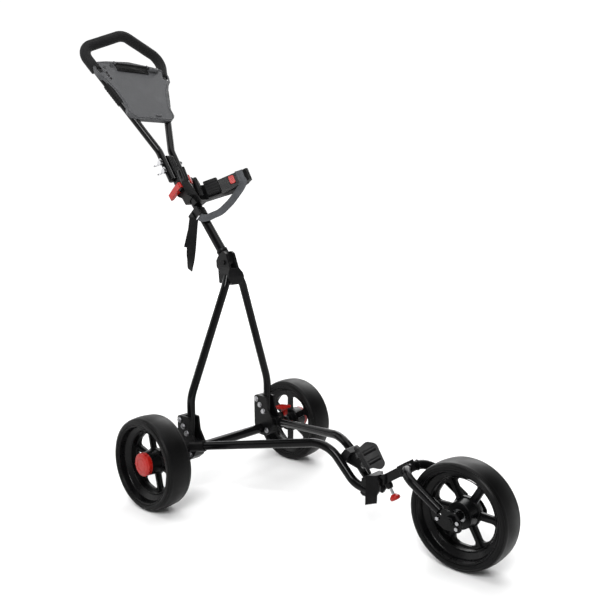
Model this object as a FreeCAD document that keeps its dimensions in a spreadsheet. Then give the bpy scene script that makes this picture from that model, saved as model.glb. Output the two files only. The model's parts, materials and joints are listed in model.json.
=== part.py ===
import FreeCAD, Part
import math
import os
from FreeCAD import Placement, Rotation, Vector

# A folding three-wheeled golf trolley that is pushed by hand.
# X runs forward to the single front wheel, Y to the pusher's left, Z up; the ground is Z = 0.
# Lengths are millimetres. Places on the frame are given from the rear axle: x from the axle
# line, y from the middle plane, z from the ground.

os.makedirs("parts", exist_ok=True)
doc = FreeCAD.newDocument("push_trolley")
sheet = doc.addObject("Spreadsheet::Sheet", "Dimensions")

DRIVING_SIZES = [
    ("rear_axle_x", -168.8, "rear axle line from the middle of the whole length"),
    ("wheel_diameter", 200.0, "over the tyre"),
    ("tyre_width", 59.0, "over the side walls"),
    ("rim_diameter", 172.0, "seat of the tyre"),
    ("track", 437.0, "between the middles of the rear wheels"),
    ("wheelbase", 627.7, "rear axle to front axle"),
    ("frame_tube", 18.0, "outside of the side tubes, uprights, fork arms and handle"),
    ("frame_bore", 15.0, "inside of the same tubes"),
    ("shaft_tube", 22.0, "outside of the main shaft and the rear cross tube"),
    ("shaft_bore", 19.0, "inside of the same tubes"),
    ("grip_diameter", 26.0, "outside of the foam grip"),
    ("axle_diameter", 10.0, "all three wheels"),
    ("bolt_diameter", 6.0, "pivot bolts"),
    ("pivot_bore", 6.1, "hole that turns on a pivot bolt"),
    ("cross_tube_length", 366.0, "rear cross tube"),
    ("bracket_width", 28.0, "hinge bracket on the cross tube"),
    ("bracket_slot", 18.6, "slot in which an upright swings"),
    ("bracket_y", 117.5, "middle of a hinge bracket and of an upright's foot"),
    ("fork_y", 42.0, "middle of a fork end"),
    ("stem_width", 18.0, "handle stem between the two legs of the loop"),
    ("knuckle_width", 16.0, "tongue of the shaft in the knee yoke"),
    ("webbing", 20.0, "width of the upper bag strap"),
    ("lower_webbing", 24.0, "width of the lower bag strap"),
]
for row, (alias, value, note) in enumerate(DRIVING_SIZES, start=1):
    sheet.set("A%d" % row, note)
    sheet.set("B%d" % row, str(value))
    sheet.setAlias("B%d" % row, alias)
doc.recompute()

AXIS_X = Vector(1, 0, 0)
AXIS_Y = Vector(0, 1, 0)
AXIS_Z = Vector(0, 0, 1)
FACING_LEFT = Rotation(AXIS_X, -90)
FACING_RIGHT = Rotation(AXIS_X, 90)
LEVEL = Rotation()


# ---------------------------------------------------------------- small tools

def size(alias):
    return float(getattr(sheet, alias))


def at(x, y, z, turn=LEVEL):
    """A place on the trolley, given from the rear axle line."""
    return Placement(Vector(x + size("rear_axle_x"), y, z), turn)


def within(frame, x, y, z, turn=LEVEL):
    """A place given in a leaning frame such as the shaft's or the handle's."""
    return frame.multiply(Placement(Vector(x, y, z), turn))


def add(kind, label):
    made = doc.addObject(kind, label)
    made.Label = label
    return made


def bind(made, **sizes):
    """Sets sizes; a text is a formula of the spreadsheet's names."""
    for name, value in sizes.items():
        if isinstance(value, str):
            made.setExpression(name, value)
        else:
            setattr(made, name, value)


def rod(label, radius, length, place):
    """A cylinder along its place's own Z, starting there."""
    made = add("Part::Cylinder", label)
    bind(made, Radius=radius, Height=length)
    made.Placement = place
    return made


def block(label, low, high, place=Placement()):
    """A box between two corners given in its place's frame."""
    made = add("Part::Box", label)
    bind(made, Length=high[0] - low[0], Width=high[1] - low[1], Height=high[2] - low[2])
    made.Placement = within(place, *low)
    return made


def hexagon(label, across_flats, height, place):
    made = add("Part::Prism", label)
    made.Polygon = 6
    bind(made, Circumradius=across_flats / math.sqrt(3), Height=height)
    made.Placement = place
    return made


def fuse(label, pieces):
    made = add("Part::MultiFuse", label)
    made.Shapes = pieces
    made.Refine = True
    return made


def cut(label, base, tools):
    made = add("Part::Cut", label)
    made.Base = base
    made.Tool = tools[0] if len(tools) == 1 else fuse(label + "_cutters", tools)
    made.Refine = True
    return made


def common(label, first, second):
    made = add("Part::Common", label)
    made.Base = first
    made.Tool = second
    return made


def group(label, pieces):
    """Several separate solids that are one sub-part."""
    made = add("Part::Compound", label)
    made.Links = pieces
    return made


def mirrored(label, source):
    """The same piece on the other side of the middle plane."""
    made = add("Part::Mirroring", label)
    made.Source = source
    made.Base = Vector(0, 0, 0)
    made.Normal = AXIS_Y
    return made


def both_sides(label, source):
    return group(label, [source, mirrored(label + "_other", source)])


def new_body(label, place=Placement()):
    made = add("PartDesign::Body", label)
    made.Placement = place
    return made


def sketch_on(owner, role, name, offset=0.0):
    made = owner.newObject("Sketcher::SketchObject", name)
    base_plane = next(f for f in owner.Origin.OriginFeatures if f.Role == role)
    made.AttachmentSupport = (base_plane, [""])
    made.MapMode = "FlatFace"
    made.AttachmentOffset = Placement(Vector(0, 0, offset), LEVEL)
    return made


def draw(sketch, corners):
    """A closed loop of straight sides; each corner is (across, up, radius)."""
    points = [Vector(c[0], c[1], 0) for c in corners]
    bends = [c[2] if len(c) > 2 else 0.0 for c in corners]
    joins = []
    for i, corner in enumerate(points):
        if bends[i] == 0:
            joins.append((corner, corner))
            continue
        back = (points[i - 1] - corner).normalize()
        ahead = (points[(i + 1) % len(points)] - corner).normalize()
        half = back.getAngle(ahead) / 2
        reach = bends[i] / math.tan(half)
        inward = (back + ahead).normalize()
        middle = corner + inward * (bends[i] / math.sin(half) - bends[i])
        sketch.addGeometry(Part.Arc(corner + back * reach, middle, corner + ahead * reach))
        joins.append((corner + back * reach, corner + ahead * reach))
    for i, join in enumerate(joins):
        following = joins[(i + 1) % len(joins)]
        if (following[0] - join[1]).Length > 1e-6:
            sketch.addGeometry(Part.LineSegment(join[1], following[0]))


def plate(label, corners, thickness, place=Placement(), role="XZ_Plane"):
    """An outline padded evenly to both sides of its plane."""
    owner = new_body(label, place)
    outline = sketch_on(owner, role, label + "_outline")
    draw(outline, corners)
    padded = owner.newObject("PartDesign::Pad", label + "_pad")
    padded.Profile = outline
    padded.Midplane = True
    bind(padded, Length=thickness)
    owner.Tip = padded
    return owner


def turned(label, corners, place):
    """An outline of (radius, height) turned about its place's Z."""
    owner = new_body(label, place)
    outline = sketch_on(owner, "XZ_Plane", label + "_outline")
    draw(outline, corners)
    revolved = owner.newObject("PartDesign::Revolution", label + "_turn")
    revolved.Profile = outline
    revolved.ReferenceAxis = (outline, ["V_Axis"])
    revolved.Angle = 360
    owner.Tip = revolved
    return owner


def bent_wire(frame, corners):
    """A centre line of straights joined by bends; each corner is (x, y, z, bend radius)."""
    points = [frame.multVec(Vector(c[0], c[1], c[2])) for c in corners]
    edges = []
    start = points[0]
    for i in range(1, len(points) - 1):
        corner = points[i]
        bend = corners[i][3]
        back = (points[i - 1] - corner).normalize()
        ahead = (points[i + 1] - corner).normalize()
        half = back.getAngle(ahead) / 2
        reach = bend / math.tan(half)
        inward = (back + ahead).normalize()
        middle = corner + inward * (bend / math.sin(half) - bend)
        edges.append(Part.makeLine(start, corner + back * reach))
        edges.append(Part.Arc(corner + back * reach, middle, corner + ahead * reach).toShape())
        start = corner + ahead * reach
    edges.append(Part.makeLine(start, points[-1]))
    return Part.Wire(edges)


def sweep(label, path, section):
    made = add("Part::Sweep", label)
    made.Sections = [section]
    made.Spine = (path, ["Edge%d" % (i + 1) for i in range(len(path.Shape.Edges))])
    made.Solid = True
    made.Frenet = False
    made.Transition = 1
    return made


def bent_bar(label, path, radius):
    """A round bar along a centre line."""
    section = add("Part::Circle", label + "_section")
    bind(section, Radius=radius)
    first = path.Shape.Edges[0]
    heading = first.tangentAt(first.FirstParameter)
    section.Placement = Placement(first.valueAt(first.FirstParameter), Rotation(AXIS_Z, heading))
    return sweep(label, path, section)


def bent_tube(label, frame, corners, outside, bore):
    path = add("Part::Feature", label + "_path")
    path.Shape = bent_wire(frame, corners)
    outer = bent_bar(label + "_outside", path, outside)
    inner = bent_bar(label + "_bore", path, bore)
    return cut(label, outer, [inner])


def outside_of(label):
    """The solid bar from which a bent tube was made, used to cut its socket."""
    return doc.getObject(label + "_outside")


def across(label, radius, reach, x, z, y=0.0, frame=None):
    """A round bar lying across the trolley, evenly about y."""
    if frame is None:
        return rod(label, radius, 2 * reach, at(x, y - reach, z, FACING_LEFT))
    return rod(label, radius, 2 * reach, within(frame, x, y - reach, z, FACING_LEFT))


def cross_bolt(label, radius, reach, head, x, z, y=0.0, frame=None):
    """A bolt lying across the trolley with a hexagon head at one end and a nut at the other."""
    base = at(0, 0, 0) if frame is None else frame
    shank = rod(label + "_shank", radius, 2 * reach, within(base, x, y - reach, z, FACING_LEFT))
    near = hexagon(label + "_head", head, 3.5, within(base, x, y - reach - 3.5, z, FACING_LEFT))
    far = hexagon(label + "_nut", head, 3.5, within(base, x, y + reach, z, FACING_LEFT))
    return fuse(label, [shank, near, far])


ORIGIN = at(0, 0, 0)
# Leaning frames. In each, Z runs along the piece and X squarely forward of it.
KNEE = at(6.5, 0, 512, Rotation(AXIS_Y, -40.5))
HANDLE = at(-148.5, 0, 670, Rotation(AXIS_Y, -35))
CRADLE = at(-122, 0, 663, Rotation(AXIS_Y, -30))
# The neck's frame differs: X runs along the neck towards the front wheel, Z squarely above it.
NECK = at(436, 0, 107, Rotation(AXIS_Y, -34.5))


# ---------------------------------------------------------------- wheels

BEARING_RADIUS = 13.0


def rim(label, place):
    """A moulded rim: stepped barrel, six-spoked web set inboard, and a hub for two bearings."""
    owner = new_body(label, place)
    section = sketch_on(owner, "XZ_Plane", label + "_section")
    draw(section, [
        (BEARING_RADIUS, -26), (24, -26, 1), (26, -13, 2), (72, -13, 3), (82, -22, 3), (82, -27, 1),
        (86, -27), (86, 27), (82, 27, 1), (80, 13, 4), (69, 6, 4), (66, -7, 3), (27, -7, 2),
        (25, 17, 1), (BEARING_RADIUS, 17), (BEARING_RADIUS, 4), (8, 4), (8, -18),
        (BEARING_RADIUS, -18)])
    revolved = owner.newObject("PartDesign::Revolution", label + "_turn")
    revolved.Profile = section
    revolved.ReferenceAxis = (section, ["V_Axis"])
    revolved.Angle = 360
    window = sketch_on(owner, "XY_Plane", label + "_window")
    draw(window, [(28.8, -8, 3), (55.5, -24.2, 7), (62.5, -10, 20), (62.5, 10, 20),
                  (55.5, 24.2, 7), (28.8, 8, 3)])
    opening = owner.newObject("PartDesign::Pocket", label + "_opening")
    opening.Profile = window
    opening.Type = 0
    opening.Length = 20
    windows = around(owner, opening, label + "_windows")
    rib_outline = sketch_on(owner, "XY_Plane", label + "_rib_outline", -7.5)
    rib_outline.AttachmentOffset = Placement(Vector(0, 0, -7.5), Rotation(AXIS_Z, 30))
    draw(rib_outline, [(25.5, -2.6), (66.5, -2.6), (66.5, 2.6), (25.5, 2.6)])
    rib = owner.newObject("PartDesign::Pad", label + "_rib")
    rib.Profile = rib_outline
    rib.Length = 4.5
    ribs = around(owner, rib, label + "_ribs")
    owner.Tip = ribs
    return owner


def around(owner, feature, name):
    """Repeats a feature six times about the wheel's axis."""
    pattern = owner.newObject("PartDesign::PolarPattern", name)
    pattern.Originals = [feature]
    vertical = next(f for f in owner.Origin.OriginFeatures if f.Role == "Z_Axis")
    pattern.Axis = (vertical, [""])
    pattern.Angle = 360
    pattern.Occurrences = 6
    owner.Tip = pattern
    return pattern


def tyre(label, place):
    """A solid foam-rubber tyre: flat seat, rounded side walls and shoulders, crowned tread."""
    owner = new_body(label, place)
    section = sketch_on(owner, "XZ_Plane", label + "_section")
    seat = size("rim_diameter") / 2
    top = size("wheel_diameter") / 2
    side = size("tyre_width") / 2
    section.addGeometry(Part.LineSegment(Vector(seat, -side + 1, 0), Vector(seat, side - 1, 0)))
    for way in (1, -1):
        seat_edge = Vector(seat, way * (side - 1), 0)
        wall = Vector(seat + 6.5, way * side, 0)
        shoulder = Vector(top - 1.4, way * (side - 11), 0)
        section.addGeometry(Part.Arc(seat_edge, Vector(seat + 3, way * (side - 0.2), 0), wall))
        section.addGeometry(Part.Arc(wall, Vector(seat + 10.7, way * (side - 4), 0), shoulder))
    section.addGeometry(Part.Arc(Vector(top - 1.4, side - 11, 0), Vector(top, 0, 0),
                                 Vector(top - 1.4, 11 - side, 0)))
    revolved = owner.newObject("PartDesign::Revolution", label + "_turn")
    revolved.Profile = section
    revolved.ReferenceAxis = (section, ["V_Axis"])
    revolved.Angle = 360
    owner.Tip = revolved
    return owner


def bearings(label, place):
    """Two ball bearings, each shown as one ring that turns on the axle."""
    bore = size("axle_diameter") / 2 + 0.05
    rings = []
    for number, start in enumerate((-26.0, 4.0)):
        rings.append(turned("%s_ring%d" % (label, number), [
            (bore, start), (BEARING_RADIUS, start), (BEARING_RADIUS, start + 8),
            (bore, start + 8)], place))
    return group(label, rings)


def hub_cap(label, place):
    """A shallow drum pushed into the hub, hollow over the axle nut."""
    plug = BEARING_RADIUS - 0.1
    return turned(label, [
        (plug, 13.5), (plug, 17), (25, 17), (25, 26.5, 2), (18, 28.8, 12), (0, 29.3), (0, 27.2),
        (17, 26.6, 8), (22.8, 24.8, 1), (22.8, 19), (11.5, 19), (11.5, 13.5)], place)


def wheel(side, place, capped):
    pieces = [rim(side + "_rim", place), tyre(side + "_tyre", place),
              bearings(side + "_bearings", place)]
    if capped:
        pieces.append(hub_cap(side + "_hub_cap", place))
    return pieces


wheel_z = size("wheel_diameter") / 2
track_half = size("track") / 2
SPOKE_TURN = Rotation(AXIS_Z, 13.5)
right_wheel = wheel("right", at(0, -track_half, wheel_z, FACING_RIGHT.multiply(SPOKE_TURN)), True)
left_wheel = wheel("left", at(0, track_half, wheel_z, FACING_LEFT), True)
HALF_SPOKE = Rotation(AXIS_Z, 30)
front_wheel = wheel("front", at(size("wheelbase"), 0, wheel_z, FACING_RIGHT.multiply(HALF_SPOKE)),
                    False)


# ---------------------------------------------------------------- rear axle

cross_length = size("cross_tube_length")
cross_outside = rod("rear_cross_tube_outside", "Dimensions.shaft_tube / 2",
                    "Dimensions.cross_tube_length", at(0, -cross_length / 2, wheel_z, FACING_LEFT))
cross_bore = rod("rear_cross_tube_bore", "Dimensions.shaft_bore / 2",
                 "Dimensions.cross_tube_length", at(0, -cross_length / 2, wheel_z, FACING_LEFT))
rear_cross_tube = cut("rear_cross_tube", cross_outside, [cross_bore])

AXLE_END = 236.5
axle_rod = rod("rear_axle_rod", "Dimensions.axle_diameter / 2", 2 * AXLE_END,
               at(0, -AXLE_END, wheel_z, FACING_LEFT))


def axle_nut(label, place, height=5.7):
    return cut(label, hexagon(label + "_hexagon", 16, height, place),
               [rod(label + "_thread", "Dimensions.axle_diameter / 2", height, place)])


rear_axle = group("rear_axle", [axle_rod, both_sides("rear_axle_nuts", axle_nut(
    "rear_axle_nut", at(0, AXLE_END - 5.7, wheel_z, FACING_LEFT)))])

# Plastic bushes plugged into the cross tube's ends, each with a flange and a spacer nose.
axle_bushes = both_sides("axle_bushes", turned("axle_bush", [
    (5, 168), (9.5, 168), (9.5, 183), (13, 183, 0.8), (13, 186, 0.8), (8, 186), (8, 192.2),
    (5, 192.2)], at(0, 0, wheel_z, FACING_LEFT)))


# ---------------------------------------------------------------- base frame

SIDE_TUBE_CORNERS = [(34.5, -126, 119.5), (325, -25, 170, 70), (392, -21, 101, 45), (428, -21, 95)]
side_tube_right = bent_tube("side_tube_right", ORIGIN, SIDE_TUBE_CORNERS,
                            "Dimensions.frame_tube / 2", "Dimensions.frame_bore / 2")
side_tube_left = mirrored("side_tube_left", side_tube_right)
side_outsides = [outside_of("side_tube_right"),
                 mirrored("side_tube_left_outside", outside_of("side_tube_right"))]

UPRIGHT_PIVOT = (9.5, 144.0)
REAR_SCREW = (-14.5, 170.5)
STOP_PIN = (-2.6, 158.0)
LOW_SCREW = (20.5, 99.0)


def hinge_bracket(label):
    """A moulded block on the cross tube: slot for the upright, sleeve for the side tube."""
    middle = -size("bracket_y")
    here = at(0, middle, 0)
    body = plate(label + "_block", [
        (-21, 108, 8), (-14, 85.5, 6), (16, 84, 8), (33, 97, 7), (41, 112, 6), (40, 128, 8),
        (24, 152, 8), (20, 181, 6), (-22, 181, 8)], "Dimensions.bracket_width", here)
    slot = plate(label + "_slot", [(-4, 130, 6), (70, 130), (70, 195), (-4, 195)],
                 "Dimensions.bracket_slot", here)
    first = Vector(*SIDE_TUBE_CORNERS[0])
    heading = (Vector(*SIDE_TUBE_CORNERS[1][:3]) - first).normalize()
    root = first - heading * 12
    sleeve = rod(label + "_sleeve", 12.0, 34, at(root.x, root.y, root.z, Rotation(AXIS_Z, heading)))
    solid = fuse(label + "_solid", [cut(label + "_slotted", body, [slot]), sleeve])
    tools = [outside_of("side_tube_right"),
             across(label + "_axle_hole", "Dimensions.shaft_tube / 2", 30, 0, wheel_z, middle)]
    for number, (x, z) in enumerate((UPRIGHT_PIVOT, REAR_SCREW, STOP_PIN, LOW_SCREW)):
        radius = size("bolt_diameter") / 2 if number == 0 else 2.5
        tools.append(across("%s_hole%d" % (label, number), radius, 30, x, z, middle))
    return cut(label, solid, tools)


hinge_bracket_right = hinge_bracket("hinge_bracket_right")
hinge_bracket_left = mirrored("hinge_bracket_left", hinge_bracket_right)


def frame_screw(label, x, z):
    return cross_bolt(label, 2.5, 14, 8, x, z, -size("bracket_y"))


frame_screws = both_sides("frame_screws", group("right_frame_screws", [
    frame_screw("rear_screw", *REAR_SCREW), frame_screw("stop_screw", *STOP_PIN),
    frame_screw("low_screw", *LOW_SCREW)]))

# Front joint: it holds both side tubes and takes the neck between two cheeks. A web behind the
# neck's upper face stops the neck when it is raised.
JOINT_CHEEK = 14.0
joint_side = plate("front_joint_side", [
    (413, 88), (418, 84), (440, 84), (448, 96), (448, 116), (440, 121), (416, 119)], 60, ORIGIN)
joint_plan = plate("front_joint_plan", [
    (410, -28), (426, -28), (430, -JOINT_CHEEK), (456, -JOINT_CHEEK),
    (456, JOINT_CHEEK), (430, JOINT_CHEEK), (426, 28), (410, 28)], 100,
    at(0, 0, 104), "XY_Plane")
joint_slot = plate("front_joint_slot", [
    (424.5, 70), (470, 70), (470, 140), (434, 140), (434, 117), (424.5, 117)],
    "Dimensions.knuckle_width + 0.6", ORIGIN)
front_joint = cut("front_joint", common("front_joint_solid", joint_side, joint_plan), [
    joint_slot, across("front_joint_hole", "Dimensions.bolt_diameter / 2", 40, 436, 107)]
    + side_outsides)

bolt_radius = size("bolt_diameter") / 2
upright_bolt = cross_bolt("upright_bolt", bolt_radius, 14, 10, *UPRIGHT_PIVOT, -size("bracket_y"))
hinge_bolts = group("hinge_bolts", [
    both_sides("upright_bolts", upright_bolt),
    cross_bolt("neck_bolt", bolt_radius, JOINT_CHEEK, 10, 436, 107)])

# Saddle block clamped between the side tubes, and the lower bag cradle standing on its front.
cradle_bracket = cut("cradle_bracket", plate("cradle_bracket_block", [
    (345, 139, 4), (366, 164, 4), (380, 158), (362, 131)], 36, ORIGIN), side_outsides)


def cradle_wing(label, side):
    """One wing of the lower cradle, with two raised bands on the face the bag leans on."""
    along = Vector(-0.64, 0, 0.768)
    outward = Vector(0.543, side * 0.707, 0.452)
    facing = outward.cross(along)
    place = at(407, 0, 126, Rotation(outward, along, facing, "XYZ"))
    sheet_part = plate(label + "_wing", [
        (0, 0, 2), (12, -3, 4), (26, -14, 8), (38, -8, 9), (42, 36, 14), (26, 49, 12),
        (0, 43, 3)], 6, place, "XY_Plane")
    bands = []
    for number, height in enumerate((3.0, 24.0)):
        bands.append(rod("%s_band%d" % (label, number), 6.5, 26,
                         within(place, 9, height + 5.5, -side * 1.5, Rotation(AXIS_Y, 90))))
    return fuse(label, [sheet_part] + bands)


cradle_keel = plate("cradle_keel", [
    (380, 158), (388, 158, 3), (413, 128, 4), (404, 122.5, 3), (362, 131)], 14, ORIGIN)
lower_cradle = cut("lower_cradle", fuse("lower_cradle_solid", [
    cradle_keel, cradle_wing("right_wing", -1), cradle_wing("left_wing", 1)]), [
    doc.getObject("cradle_bracket_block")])

# The lower bag strap hangs from the right wing across the front joint's corner; in its own
# frame X faces forward and right, and Z is up.
STRAP_FACING = at(436, -24, 0, Rotation(AXIS_Z, -47))
lower_strap = plate("lower_strap", [
    (9, 131), (10.5, 120, 10), (10, 100, 12), (5, 72), (3, 72), (8, 100, 12), (8.5, 120, 10),
    (7, 130.6)], "Dimensions.lower_webbing", STRAP_FACING)

# Foot brake on the cross tube, just inside the left wheel.
BRAKE_Y = 170.0
BRAKE_PIVOT = (8.0, 121.0)
brake_block = plate("brake_block", [
    (-15, 100, 9), (-12, 86, 8), (12, 86, 8), (16, 104, 6), (14, 128, 6), (1, 128, 6),
    (-8, 114, 6)], 7, at(0, BRAKE_Y - 4, 0))
brake_pin = rod("brake_pin", 2.5, 18, at(BRAKE_PIVOT[0], BRAKE_Y - 4, BRAKE_PIVOT[1], FACING_LEFT))
brake_pin_head = rod("brake_pin_head", 4.5, 2, at(BRAKE_PIVOT[0], BRAKE_Y + 12, BRAKE_PIVOT[1],
                                                  FACING_LEFT))
brake_mount = cut("brake_mount", fuse("brake_mount_solid", [brake_block, brake_pin, brake_pin_head]),
                  [across("brake_mount_hole", "Dimensions.shaft_tube / 2", 20, 0, wheel_z, BRAKE_Y)])
brake_arm = plate("brake_arm", [
    (1, 121, 5), (8, 114.5, 5), (15, 121, 5), (15, 134), (19, 139), (5, 139), (5, 130)], 11,
    at(0, BRAKE_Y + 5.9, 0))
brake_pedal = plate("brake_pedal", [(-6, 136, 2), (26, 140, 2), (27, 146, 2), (-6, 142, 2)], 26,
                    at(0, BRAKE_Y, 0))
brake_lever = cut("brake_lever", fuse("brake_lever_solid", [brake_arm, brake_pedal]),
                  [across("brake_lever_hole", 2.55, 30, *BRAKE_PIVOT, BRAKE_Y)])


# ---------------------------------------------------------------- neck and front fork

PLUNGER_AT = 22.0
fork_y = size("fork_y")
FORK_CORNERS = [(510, -7, 158), (527, -fork_y, 158, 34), (604, -fork_y, 111)]
fork_tube_right = bent_tube("fork_tube_right", ORIGIN, FORK_CORNERS,
                            "Dimensions.frame_tube / 2", "Dimensions.frame_bore / 2")
fork_outsides = [outside_of("fork_tube_right"),
                 mirrored("fork_tube_left_outside", outside_of("fork_tube_right"))]

neck_bar = plate("neck_bar", [(-9, -9, 8.9), (77, -9), (77, 9), (-9, 9, 8.9)],
                 "Dimensions.knuckle_width", NECK)
neck_tube = cut("neck_tube", neck_bar, [
    block("neck_hollow", (8, -6, -7), (78, 6, 7), NECK),
    across("neck_hole", "Dimensions.pivot_bore / 2", 12, 0, 0, 0, NECK),
    rod("neck_plunger_hole", 3.05, 6, within(NECK, PLUNGER_AT, 0, -11))])
crown_block = plate("crown_block", [
    (67, -11, 2), (75, -11, 3), (82, -14, 4), (92, -14, 4), (97, -8, 3), (97, 8, 3), (92, 14, 4),
    (82, 14, 4), (75, 11, 3), (67, 11, 2)], 21.4, NECK, "XY_Plane")
fork_crown = cut("fork_crown", crown_block, fork_outsides + [
    block("crown_socket", (63, -8, -9), (77, 8, 9), NECK)])

# Flat fork ends, each let into the slotted end of its arm.
axle_x = size("wheelbase")
end_plate = plate("fork_end", [
    (584, 113, 5), (588, 123, 4), (606, 117, 8), (638, 115, 12), (651, 98, 10), (647, 81, 8),
    (614, 80, 9), (592, 92, 8)], 3, at(0, -fork_y, 0))
END_SCREWS = [(605.6, 105.4), (600.6, 96.5), (641.6, 99), (640, 88)]
end_holes = [across("fork_end_hole0", "Dimensions.axle_diameter / 2", 12, axle_x, wheel_z, -fork_y)]
for number, (x, z) in enumerate(END_SCREWS):
    end_holes.append(across("fork_end_hole%d" % (number + 1), 2.0, 12, x, z, -fork_y))
fork_plates = both_sides("fork_plates", cut("fork_plate", end_plate, end_holes))
fork_arm_right = cut("fork_arm_right", fork_tube_right, [
    plate("fork_end_slot", [(580, 100), (620, 90), (620, 130), (580, 132)], 3, at(0, -fork_y, 0)),
    across("fork_end_clear", 2.0, 12, *END_SCREWS[0], -fork_y)])
fork_arm_left = mirrored("fork_arm_left", fork_arm_right)


def end_screw(label, x, z):
    shank = across(label + "_shank", 2.0, 3.0, x, z, -fork_y)
    head = rod(label + "_head", 3.4, 1.6, at(x, -fork_y - 4.6, z, FACING_LEFT))
    return fuse(label, [shank, head])


fork_screws = both_sides("fork_screws", group("right_fork_screws", [
    end_screw("end_screw%d" % number, x, z) for number, (x, z) in enumerate(END_SCREWS[1:])]))

# Front axle with its two nuts and the two spacers that centre the wheel.
FRONT_AXLE_REACH = 51.0
front_axle_rod = across("front_axle_rod", "Dimensions.axle_diameter / 2", FRONT_AXLE_REACH,
                        axle_x, wheel_z)
front_nut = axle_nut("front_nut", at(axle_x, fork_y + 1.5, wheel_z, FACING_LEFT), 6.0)


def axle_spacer(label, start, end):
    place = at(axle_x, start, wheel_z, FACING_LEFT)
    return cut(label, rod(label + "_outside", 8.0, end - start, place),
               [rod(label + "_bore", "Dimensions.axle_diameter / 2", end - start, place)])


front_axle = group("front_axle", [
    front_axle_rod, both_sides("front_nuts", front_nut),
    axle_spacer("right_spacer", -fork_y + 1.5, -12.3), axle_spacer("left_spacer", 26.3, fork_y - 1.5)])

# Spring plunger under the neck: boss, pin and pull knob.
plunger_boss = turned("plunger_boss", [(3.05, -20), (6, -20, 1), (7.5, -15, 2), (7.5, -9), (3.05, -9)],
                      within(NECK, PLUNGER_AT, 0, 0))
release_pin = rod("release_pin", 3.0, 42, within(NECK, PLUNGER_AT, 0, -38))
release_knob = turned("release_knob", [
    (3, -38), (0, -38), (0, -44), (7, -44, 2), (10.5, -42, 2), (10.5, -37, 2), (7, -34, 2), (5, -32),
    (3, -32)], within(NECK, PLUNGER_AT, 0, 0))


# ---------------------------------------------------------------- uprights and knee

foot_y = size("bracket_y")
UPRIGHT_CORNERS = [(9.6, -foot_y, 136), (9, -foot_y, 222, 90), (24.5, -26, 462, 60),
                   (21, -17, 482)]
upright_tube = bent_tube("upright_tube", ORIGIN, UPRIGHT_CORNERS,
                         "Dimensions.frame_tube / 2", "Dimensions.frame_bore / 2")
upright_right = cut("upright_right", upright_tube, [
    across("upright_pivot_hole", "Dimensions.pivot_bore / 2", 14, *UPRIGHT_PIVOT, -foot_y)])
upright_left = mirrored("upright_left", upright_right)
upright_outsides = [outside_of("upright_tube"),
                    mirrored("upright_left_outside", outside_of("upright_tube"))]

# Knee yoke: its sides seat the uprights' ends, and its cheeks take the shaft's tongue and, at
# the back, the latch lever. The cheeks are rounded about the knee pivot, clear of the shaft.
LATCH_PIVOT = (-13.0, 507.0)
yoke_side = plate("yoke_side", [
    (10, 462, 3), (35, 463, 4), (33, 482, 8), (13, 532, 5), (4, 537, 7), (-9, 530, 8),
    (-19, 515, 6), (-18, 500, 5), (3, 490, 10)], 60, ORIGIN)
yoke_front = plate("yoke_front", [
    (-12, 462, 3), (12, 462, 3), (23, 474, 5), (22, 489, 8), (14, 500, 4), (14, 540),
    (-14, 540), (-14, 500, 4), (-22, 489, 8), (-23, 474, 5)], 100, at(0, 0, 0), "YZ_Plane")
knee_slot = plate("knee_slot", [
    (-30, 480), (-5, 480), (-5, 499, 3), (36, 499), (36, 550), (-30, 550)],
    "Dimensions.knuckle_width + 0.6", ORIGIN)
knee_yoke = cut("knee_yoke", common("knee_yoke_solid", yoke_side, yoke_front), [
    knee_slot,
    across("knee_yoke_hole", bolt_radius, 30, 6.5, 512),
    across("knee_latch_hole", 2.0, 30, *LATCH_PIVOT)] + upright_outsides)
knee_bolts = group("knee_bolts", [
    cross_bolt("knee_pivot_bolt", bolt_radius, 14, 10, 6.5, 512),
    across("latch_pin", 2.0, 13.5, *LATCH_PIVOT)])
latch_arm = plate("latch_arm", [
    (-19, 507, 5), (-13, 512.5, 5), (-7.5, 507, 4), (-9, 494, 8), (-9, 474, 4), (-13, 462, 2),
    (-18, 464, 3), (-20.5, 494, 10)], 14, ORIGIN)
knee_latch = cut("knee_latch", latch_arm, [across("latch_arm_hole", 2.05, 20, *LATCH_PIVOT)])


# ---------------------------------------------------------------- shaft and upper cradle

SHAFT_FOOT = 33.0
SHAFT_TOP = 200.0
shaft_place = within(KNEE, 0, 0, SHAFT_FOOT)
shaft_outside = rod("shaft_tube_outside", "Dimensions.shaft_tube / 2", SHAFT_TOP - SHAFT_FOOT,
                    shaft_place)
shaft_tube = cut("shaft_tube", shaft_outside, [
    rod("shaft_tube_bore", "Dimensions.shaft_bore / 2", SHAFT_TOP - SHAFT_FOOT, shaft_place)])

knuckle_tongue = plate("knuckle_tongue", [(-9.5, -10, 9.4), (9.5, -10, 9.4), (9.5, 29), (-9.5, 29)],
                       "Dimensions.knuckle_width", KNEE)
knuckle_plug = turned("knuckle_plug", [
    (0, 27.5), (12.5, 27.5, 1.5), (13, 33), (9.5, 33), (9.5, 56, 1), (0, 56)], KNEE)
knee_knuckle = cut("knee_knuckle", fuse("knee_knuckle_solid", [knuckle_tongue, knuckle_plug]), [
    across("knuckle_hole", "Dimensions.pivot_bore / 2", 12, 0, 0, 0, KNEE)])

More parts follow.
